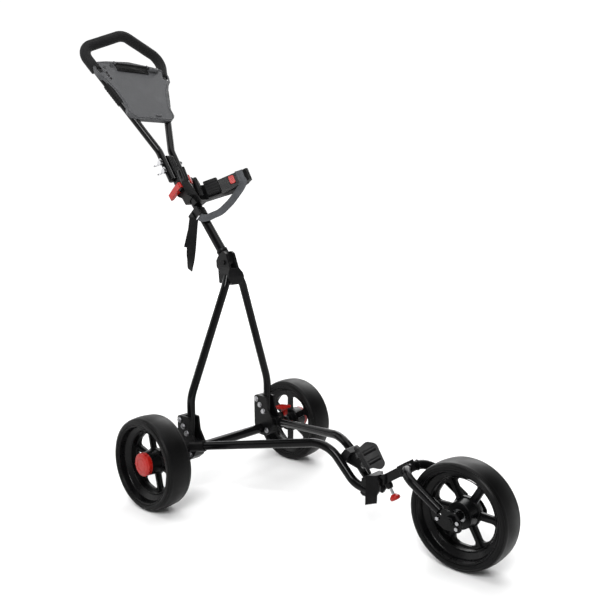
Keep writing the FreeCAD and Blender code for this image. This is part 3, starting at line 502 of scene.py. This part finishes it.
def box_stitches(name, middle, heading, side, long, wide, material, slot, body):
    """A sewn box with a cross in it, as small raised threads."""
    corners = [(-long, -wide), (long, -wide), (long, wide), (-long, wide)]
    runs = [(corners[i], corners[(i + 1) % 4]) for i in range(4)]
    runs += [(corners[0], corners[2]), (corners[1], corners[3])]
    normal = side.cross(heading).normalized()
    threads = []
    for start, end in runs:
        a = middle + heading * start[0] + side * start[1]
        b = middle + heading * end[0] + side * end[1]
        count = max(2, int((b - a).length / 0.0026))
        for k in range(count):
            first, last = a.lerp(b, (k + 0.15) / count), a.lerp(b, (k + 0.85) / count)
            lift = normal * 0.0004
            route = [first, first.lerp(last, 0.25) + lift, first.lerp(last, 0.75) + lift, last]
            threads.append(tube(route, lambda d, t: 0.00032, 6))
    return smooth(piece(*joined(name, threads), material, slot, body))


# ------------------------------------------------------------------ wheels

ACROSS = Vector((0, 1, 0))
AXLE_HEIGHT = 100
# Each wheel's x and y from the rear axle, and the way its cap faces.
WHEELS = {"right": (0, -218.5, -1), "left": (0, 218.5, 1), "front": (627.7, 0, -1)}


def wheel_details(side, x, y, outward):
    """Moulded rings on the side walls, a lip on the rim and, at the back, rings on the cap."""
    body = side + "_wheel"
    ribs = []
    for way in (-1, 1):
        for radius, offset, wire in ((0.0895, 29.2, 0.0007), (0.0958, 27.0, 0.0006)):
            middle = place(AXLE, x, y + way * offset, AXLE_HEIGHT)
            ribs.append(ring(middle, ACROSS, radius, wire, 96))
    smooth(piece(*joined(side + "_tyre_ribs", ribs), TYRE, "tyre", body))
    lips = [ring(place(AXLE, x, y + way * 27, AXLE_HEIGHT), ACROSS, 0.084, 0.0012, 96)
            for way in (-1, 1)]
    lips.append(ring(place(AXLE, x, y + outward * 6.2, AXLE_HEIGHT), ACROSS, 0.0675, 0.0011, 72))
    smooth(piece(*joined(side + "_rim_lips", lips), RIM, "rim_plastic", body))
    if side != "front":
        rings = [ring(place(AXLE, x, y + outward * h, AXLE_HEIGHT), ACROSS, r, 0.0006, 64)
                 for r, h in ((0.0208, 28.0), (0.0135, 29.0))]
        smooth(piece(*joined(side + "_hub_cap_rings", rings), RED, "red_plastic", body))


for wheel_side, (wheel_x, wheel_y, wheel_outward) in WHEELS.items():
    wheel_details(wheel_side, wheel_x, wheel_y, wheel_outward)


# ------------------------------------------------------------------ frame

def smooth_by_angle(made):
    """Smooth curves with crisp corners."""
    made.data.shade_smooth()
    modifier = made.modifiers.new("crisp", "EDGE_SPLIT")
    modifier.split_angle = math.radians(35)
    return made


def washers(name, spots, outer, body):
    """Thin washers; each spot is a point and the way its screw points."""
    profile = [(WASHER_HOLE, 0), (outer, 0), (outer, 0.9), (WASHER_HOLE, 0.9)]
    parts = [lathe(middle, way, profile, 28) for middle, way in spots]
    return smooth_by_angle(piece(*joined(name, parts), ZINC, "steel", body))


WASHER_HOLE = 3.1
BRACKET_Y = 117.5
CHEEK_FACE = 13.9
BRACKET_SCREWS = [(9.5, 144.0), (-14.5, 170.5), (-2.6, 158.0), (20.5, 99.0)]
screw_spots = []
for way in (-1, 1):
    for x, z in BRACKET_SCREWS:
        for face in (-1, 1):
            spot = place(AXLE, x, way * BRACKET_Y + face * CHEEK_FACE, z)
            screw_spots.append((spot, ACROSS * face))
washers("bracket_washers", screw_spots, 6.4, "frame")
washers("neck_washers", [(place(AXLE, 436, face * CHEEK_FACE, 107), ACROSS * face)
                         for face in (-1, 1)], 6.6, "frame")


def weld_bead(name, middle, heading, radius, body):
    """An uneven fillet of weld round a tube where it meets a block."""
    base, faces = ring(middle, heading, radius, 0.0013, 72, 8)
    for i, point in enumerate(base):
        turn = i // 8
        swell = 1 + 0.12 * math.sin(turn * 1.9) + 0.08 * math.sin(turn * 0.7 + 1)
        base[i] = middle + (point - middle) * (0.985 + 0.015 * swell)
    return smooth(piece(name, base, faces, PAINT, "satin_tube", body))


FORK_CORNERS = [(510, 7, 158), (527, 42, 158), (604, 42, 111)]
for way, side_name in ((-1, "right"), (1, "left")):
    start = place(AXLE, FORK_CORNERS[0][0], way * FORK_CORNERS[0][1], FORK_CORNERS[0][2])
    bend = place(AXLE, FORK_CORNERS[1][0], way * FORK_CORNERS[1][1], FORK_CORNERS[1][2])
    out = (bend - start).normalized()
    weld_bead("fork_weld_" + side_name, start + out * 0.0105, out, 0.0093, "fork")

pedal_ribs = [prism(AXLE, [(x, 158.5), (x + 1.6, 158.5), (x + 1.6, 181.5), (x, 181.5)],
                    141.5 + (x + 6) * 0.12, 143.8 + (x + 6) * 0.12) for x in (-2, 4, 10, 16, 21)]
bevelled(piece(*joined("brake_pedal_ribs", pedal_ribs), RED, "red_plastic", "foot_brake"),
         0.0004, 2)


# ------------------------------------------------------------------ handle

# The loop's legs spread between two heights, then bend over to its top (x, y, height).
LEG_LOW, LEG_HIGH = 113, 405
LEG_CORNER = (3, 119, LEG_HIGH)
LOOP_TOP = (34, 0, 441)
GRIP_FOOT = 342
CORNER_BEND, TOP_BEND = 0.031, 0.045


def on_leg(height, side):
    """A point of the loop's leg at a distance along the stem."""
    share = (height - LEG_LOW) / (LEG_HIGH - LEG_LOW)
    return place(HANDLE, 3 * share, side * (18.5 + share * 100.5), height)


def leg_corner(side):
    return place(HANDLE, LEG_CORNER[0], side * LEG_CORNER[1], LEG_CORNER[2])


grip_route = rounded_route([
    (on_leg(GRIP_FOOT, -1), 0), (leg_corner(-1), CORNER_BEND), (place(HANDLE, *LOOP_TOP), TOP_BEND),
    (leg_corner(1), CORNER_BEND), (on_leg(GRIP_FOOT, 1), 0)], 0.002)
grip_length = sum((b - a).length for a, b in zip(grip_route, grip_route[1:]))


GRIP_RADIUS, GRIP_END_RADIUS, GRIP_ROUNDING = 0.01305, 0.0091, 0.0034


def grip_radius(distance, turn):
    """Rounded ends, a faint moulding seam and the slight unevenness of foam."""
    end = min(distance, grip_length - distance)
    full = (GRIP_RADIUS + 0.00008 * math.sin(distance * 140 + 2 * turn)
            + 0.00006 * math.sin(5 * turn))
    if abs(math.sin(turn / 2 + 0.6)) < 0.025:
        full -= 0.00025
    if end >= GRIP_ROUNDING:
        return full
    rise = math.sqrt(max(0.0, 1 - (1 - end / GRIP_ROUNDING) ** 2))
    return GRIP_END_RADIUS + (full - GRIP_END_RADIUS) * rise


grip = smooth(piece("grip_sleeve", *tube(grip_route, grip_radius, 48), FOAM, "grip_foam", "handle"))
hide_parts("grip")

# Rounded plugs in the loop's open lower ends.
plug_profile = [(8.8, 0.5), (8.8, 0), (8.6, -1.2), (7.6, -2.2), (5.0, -2.8), (0.05, -3.0)]
plugs = [lathe(place(HANDLE, 0, way * 18, 30), HANDLE.to_3x3() @ Vector((0, 0, 1)), plug_profile)
         for way in (-1, 1)]
smooth(piece(*joined("handle_tube_plugs", plugs), NYLON, "black_plastic", "handle"))

# Ribbed sleeves where the console's lower half grips the legs.
pad_rings = []
for way in (-1, 1):
    for k in range(8):
        here, ahead = on_leg(253 + 6.3 * k, way), on_leg(254 + 6.3 * k, way)
        pad_rings.append(ring(here, ahead - here, 0.0107, 0.0008, 40, 8))
smooth(piece(*joined("side_pad_ribs", pad_rings), PAD, "soft_rubber", "handle"))

# The console's outline on one side, as (across, height on the stem), and its middle height.
CONSOLE_MIDDLE = 292
CONSOLE_SIDE = [(52, 197), (68, 214), (66, 232), (70, 250), (80, 282), (95, 311), (106, 324),
                (111, 346), (94, 362), (68, 367)]


def console_bead(name, inset, face, wire):
    """A raised bead inside the console's edge, moved in towards the console's middle."""
    corners = []
    for way, order in ((-1, CONSOLE_SIDE), (1, list(reversed(CONSOLE_SIDE)))):
        for y, u in order:
            share = 1 - inset / math.hypot(y, u - CONSOLE_MIDDLE)
            height = CONSOLE_MIDDLE + (u - CONSOLE_MIDDLE) * share
            corners.append(place(HANDLE, face, way * y * share, height))
    line = flowing(corners + corners[:1], 8)[:-1]
    return smooth(piece(name, *tube(line, lambda d, t: wire, 8, True), CONSOLE, "console_grey",
                        "handle"))


console_bead("console_front_bead", 6, 13.0, 0.0011)
console_bead("console_back_bead", 7, 3.0, 0.0011)

# Stiffening ribs across the console's back, between the legs.
back_ribs = []
for height, half in ((236, 40), (262, 50), (290, 58), (318, 66), (340, 72)):
    back_ribs.append(prism(HANDLE @ Matrix.Translation((0, 0, height / 1000)),
                           [(0.4, -half), (3.2, -half), (3.2, half), (0.4, half)], -0.8, 0.8))
for y in (-36, -12, 12, 36):
    back_ribs.append(prism(HANDLE @ Matrix.Translation((0, y / 1000, 0)),
                           [(0.4, -0.8), (3.2, -0.8), (3.2, 0.8), (0.4, 0.8)], 222, 350))
bevelled(piece(*joined("console_back_ribs", back_ribs), CONSOLE, "console_grey", "handle"),
         0.0003, 1)

# Finger ridges on the card clip.
clip_ridges = [prism(HANDLE @ Matrix.Translation((0.0157, 0, height / 1000)),
                     [(0, -43), (0.7, -43), (0.7, 43), (0, 43)], -0.5, 0.5)
               for height in (343, 346, 349)]
bevelled(piece(*joined("card_clip_ridges", clip_ridges), NYLON, "black_plastic", "card_clip"),
         0.0002, 1)

# Dark eyelets line the tee holes and the hole above them.
eyelets = [lathe(place(HANDLE, 12.4, y, u), HANDLE.to_3x3() @ Vector((1, 0, 0)),
                 [(1.4, -3), (1.4, 0.7), (3.3, 1.0), (3.5, 0.5), (3.5, 0)], 24)
           for y, u in ((-80, 331), (-77.5, 322.5), (-75, 314), (-80, 346))]
smooth(piece(*joined("tee_hole_eyelets", eyelets), NYLON, "black_plastic", "handle"))

# A pen holder along the console's top edge, and the small catch under its lower edge.
pen_axis = HANDLE.to_3x3() @ Vector((0, 1, -0.1))
smooth(piece("pen_holder", *lathe(place(HANDLE, 16, 50, 356), pen_axis, [
    (4.6, 1.2), (4.6, 0), (6.6, 0), (6.6, 26), (4.6, 26), (4.6, 24.8)]), CONSOLE, "console_grey",
    "handle"))
catch_outline = [(9 * math.cos(2 * math.pi * k / 24), 3.2 * math.sin(2 * math.pi * k / 24))
                 for k in range(24)]
catch_frame = HANDLE @ Matrix.Translation((0.013, 0.018, 0.211)) @ Matrix(
    ((0, 0, 1, 0), (1, 0, 0, 0), (0, 1, 0, 0), (0, 0, 0, 1)))
bevelled(piece("console_catch", *prism(catch_frame, catch_outline, -0.5, 2.2), CONSOLE,
               "console_grey", "handle"), 0.0008)


# ------------------------------------------------------------------ upper cradle

PAD_OUTLINE = [(40.2, 14.6), (58, 35.2), (65.5, 35), (68, 29), (46, 4.5)]
pads = []
for way in (-1, 1):
    outline = [(x, way * y) for x, y in PAD_OUTLINE]
    if way < 0:
        outline.reverse()
    pads.append(prism(CRADLE, outline, -30, 6))
cradle_pads = bevelled(piece(*joined("cradle_pads", pads), PAD, "soft_rubber", "shaft"), 0.0026, 4)
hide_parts("upper_cradle_pads")
# The bag leans on thin ridges moulded across each pad's face.
pad_ridges = []
for way in (-1, 1):
    for n in (-24, -17, -10, -3):
        ridge = [place(CRADLE, 48.5, way * 7.4, n), place(CRADLE, 66.6, way * 27.6, n)]
        pad_ridges.append(tube(ridge, lambda d, t: 0.0009, 8))
smooth(piece(*joined("cradle_pad_ridges", pad_ridges), PAD, "soft_rubber", "shaft"))


# ------------------------------------------------------------------ straps

# The bag strap leaves the buckle, crosses the shaft's front, rises to the left arm, lies up the
# arm's inner face near its tip and is folded over the top of it.
strap_route = [(-75, -18.4, 615), (-67, -18.2, 611), (-60, -14.5, 609), (-56.5, -5, 610),
               (-55.5, 8, 614), (-53, 30, 622), (-47, 52, 640), (-37, 69, 664)]
strap_across = [(0.36, 0.1, 0.93), (0.25, 0.35, 0.9), (-0.25, 0.2, 0.94), (-0.62, -0.06, 0.77),
                (-0.67, -0.15, 0.73), (-0.69, -0.26, 0.67), (-0.73, -0.34, 0.59),
                (-0.76, -0.38, 0.52)]
fold_route = [(95.4, 78.9, -25), (95.4, 78.9, -12), (95.4, 78.9, 1), (93.6, 80.4, 7.4),
              (88, 85, 7.4), (82, 90, 6), (80.2, 91.5, -2), (80.2, 91.5, -16)]
# The hanging ends face the same way.
HANGING_TURN = Matrix.Rotation(math.radians(-47), 4, "Z")
ALONG_ARM = CRADLE.to_3x3() @ Vector((-0.633, -0.773, 0))
strap_line = [place(AXLE, *p) for p in strap_route] + [place(CRADLE, *p) for p in fold_route]
strap_turns = [Vector(s) for s in strap_across] + [ALONG_ARM] * len(fold_route)
bag_strap = strap("bag_strap_webbing", strap_line, strap_turns, 0.0175, 0.0016, GREY_TAPE,
                  "grey_webbing", "shaft")
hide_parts("bag_strap")

# The webbing's turn round the shaft, level with the buckle.
WRAP_HEIGHT = 139
shaft_axis = (KNEE.to_3x3() @ Vector((0, 0, 1))).normalized()
wrap_points, wrap_sides = [], []
for k in range(25):
    turn = math.radians(-75 + 330 * k / 24)
    reach = 12.6 if math.sin(turn) > 0 else 13.9
    wrap_points.append(place(KNEE, 12.6 * math.cos(turn), reach * math.sin(turn), WRAP_HEIGHT))
    wrap_sides.append(shaft_axis.copy())
strap("shaft_wrap", wrap_points, wrap_sides, 0.019, 0.0017, BLACK_TAPE, "black_webbing", "shaft")

tail_frame = (Matrix.Translation(place(AXLE, -83, -24.5, 601)) @ HANGING_TURN
              @ Matrix.Rotation(math.radians(-6), 4, "X"))
tail_points = [(0, 0, 9), (1.5, 0, 0), (3.2, 0, -16), (1.8, 0, -45), (-3, 0, -75), (-7.5, 0, -96),
               (-12, 0, -114)]
tail_twist = [0.2, 0.2, 0.1, 0.0, 0.25, 0.8, 1.5]
tail = strap("strap_tail_webbing", [place(tail_frame, *p) for p in tail_points],
             [tail_frame.to_3x3() @ Vector((t, 1, 0)).normalized() for t in tail_twist],
             0.0215, 0.0018, BLACK_TAPE, "black_webbing", "shaft")
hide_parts("strap_tail")
# The strap's other end comes out of the buckle behind it and is shorter.
short_points = [(-1.5, -1, 0), (-3, -2.5, -18), (-4, -5.5, -38), (-6, -9, -62)]
short_tail = strap("strap_tail_short", [place(tail_frame, *p) for p in short_points],
                   [tail_frame.to_3x3() @ Vector((t, 1, -0.12)).normalized()
                    for t in (0.2, -0.1, -0.3, -0.1)], 0.018, 0.0016, BLACK_TAPE, "black_webbing",
                   "shaft")

lower_frame = Matrix.Translation(place(AXLE, 436, -24, 0)) @ HANGING_TURN
lower_points = [(8, 0, 130.5), (9.4, 0, 119), (9.6, 0, 104), (8, 0, 89), (4.2, 0, 72)]
lower_twist = [0.1, 0.02, 0, -0.1, -0.22]
lower_strap = strap("lower_strap_webbing", [place(lower_frame, *p) for p in lower_points],
                    [lower_frame.to_3x3() @ Vector((t, 1, 0)).normalized() for t in lower_twist],
                    0.0235, 0.0018, BLACK_TAPE, "black_webbing", "frame")
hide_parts("lower_strap")

# A sewn box on the tail's end.
tail_down = (tail_frame.to_3x3() @ Vector((-0.24, 0, -1))).normalized()
tail_side = (tail_frame.to_3x3() @ Vector((1.2, 1, 0))).normalized()
box_stitches("tail_stitches", place(tail_frame, -8.6, 0, -104.5), tail_down, tail_side,
             0.006, 0.0075, BLACK_TAPE, "black_webbing", "shaft")

# The plated bar at the buckle that the grey webbing meets.
buckle_bar = [place(KNEE, -10, -20.5, 125), place(KNEE, 12, -20.5, 125)]
smooth(piece("buckle_bar", *tube(buckle_bar, lambda d, t: 0.0013, 12), CHROME, "chrome", "shaft"))


# ------------------------------------------------------------------ studio

def floor():
    bpy.ops.mesh.primitive_plane_add(size=120, location=(0, 0, -0.0005))
    ground = bpy.context.object
    ground.name = "floor"
    pale = Shader("pale_floor", (0.86, 0.86, 0.86), 0.7, specular=0.2)
    pale.vary_roughness(pale.noise(6), 0.05)
    # A lit sweep: away from the object the floor glows as much as the wall behind it.
    reach = pale.add("ShaderNodeVectorMath", operation="LENGTH")
    pale.link(pale.where, reach.inputs[0])
    pale.set("Emission Color", (1, 1, 1, 1))
    pale.link(pale.ramp(reach.outputs["Value"], 1.4, 3.6, 0.0, 1.0),
              pale.shader.inputs["Emission Strength"])
    ground.data.materials.append(pale.material)


def area_light(name, stands, aim, size, power):
    data = bpy.data.lights.new(name, "AREA")
    data.energy = power
    data.size = size
    lamp = bpy.data.objects.new(name, data)
    lamp.location = stands
    lamp.rotation_euler = (Vector(aim) - Vector(stands)).to_track_quat("-Z", "Y").to_euler()
    bpy.context.scene.collection.objects.link(lamp)


# The camera fitted to the photo: millimetres of lens, metres ahead of the rear axle, radians.
CAMERA_LENS = 47.41
CAMERA_AHEAD = 1.3299
CAMERA_DIP, CAMERA_HEADING = 0.14414, 0.74825


def camera():
    data = bpy.data.cameras.new("camera")
    data.lens = CAMERA_LENS
    data.sensor_width = 36
    view = bpy.data.objects.new("camera", data)
    view.location = (CAMERA_AHEAD + REAR_AXLE_X, -1.18877, 0.68272)
    view.rotation_euler = (math.pi / 2 - CAMERA_DIP, 0, CAMERA_HEADING)
    bpy.context.scene.collection.objects.link(view)
    bpy.context.scene.camera = view


floor()
area_light("key", (1.6, -2.2, 2.6), (0, 0, 0.45), 1.3, 100)
area_light("fill", (-2.4, -1.6, 1.8), (0, 0, 0.5), 2.6, 45)
area_light("rim_light", (-1.2, 2.4, 2.2), (0, 0, 0.5), 2.4, 70)
area_light("top", (0.1, 0, 3.2), (0, 0, 0), 2.6, 60)


def studio_walls():
    """A white wall behind the object, pale grey walls to the other sides and a dark ceiling."""
    world = bpy.data.worlds.new("studio")
    world.use_nodes = True
    tree = world.node_tree
    around = tree.nodes.new("ShaderNodeTexCoord").outputs["Generated"]

    def wall(direction, start, end, dark, bright):
        facing = tree.nodes.new("ShaderNodeVectorMath")
        facing.operation = "DOT_PRODUCT"
        facing.inputs[1].default_value = direction
        tree.links.new(around, facing.inputs[0])
        level = tree.nodes.new("ShaderNodeMapRange")
        level.interpolation_type = "SMOOTHSTEP"
        level.inputs["From Min"].default_value = start
        level.inputs["From Max"].default_value = end
        level.inputs["To Min"].default_value = dark
        level.inputs["To Max"].default_value = bright
        tree.links.new(facing.outputs["Value"], level.inputs["Value"])
        return level.outputs["Result"]

    brighter = tree.nodes.new("ShaderNodeMath")
    brighter.operation = "MAXIMUM"
    tree.links.new(wall((-0.68, 0.733, 0), 0.55, 0.8, 0.06, 1.05), brighter.inputs[0])
    tree.links.new(wall((0, 0, -1), -0.42, -0.22, 0.06, 0.5), brighter.inputs[1])
    tree.links.new(brighter.outputs["Value"], tree.nodes["Background"].inputs["Strength"])
    tree.nodes["Background"].inputs["Color"].default_value = (1, 1, 1, 1)
    bpy.context.scene.world = world


studio_walls()
camera()
bpy.context.scene.view_settings.view_transform = "Standard"
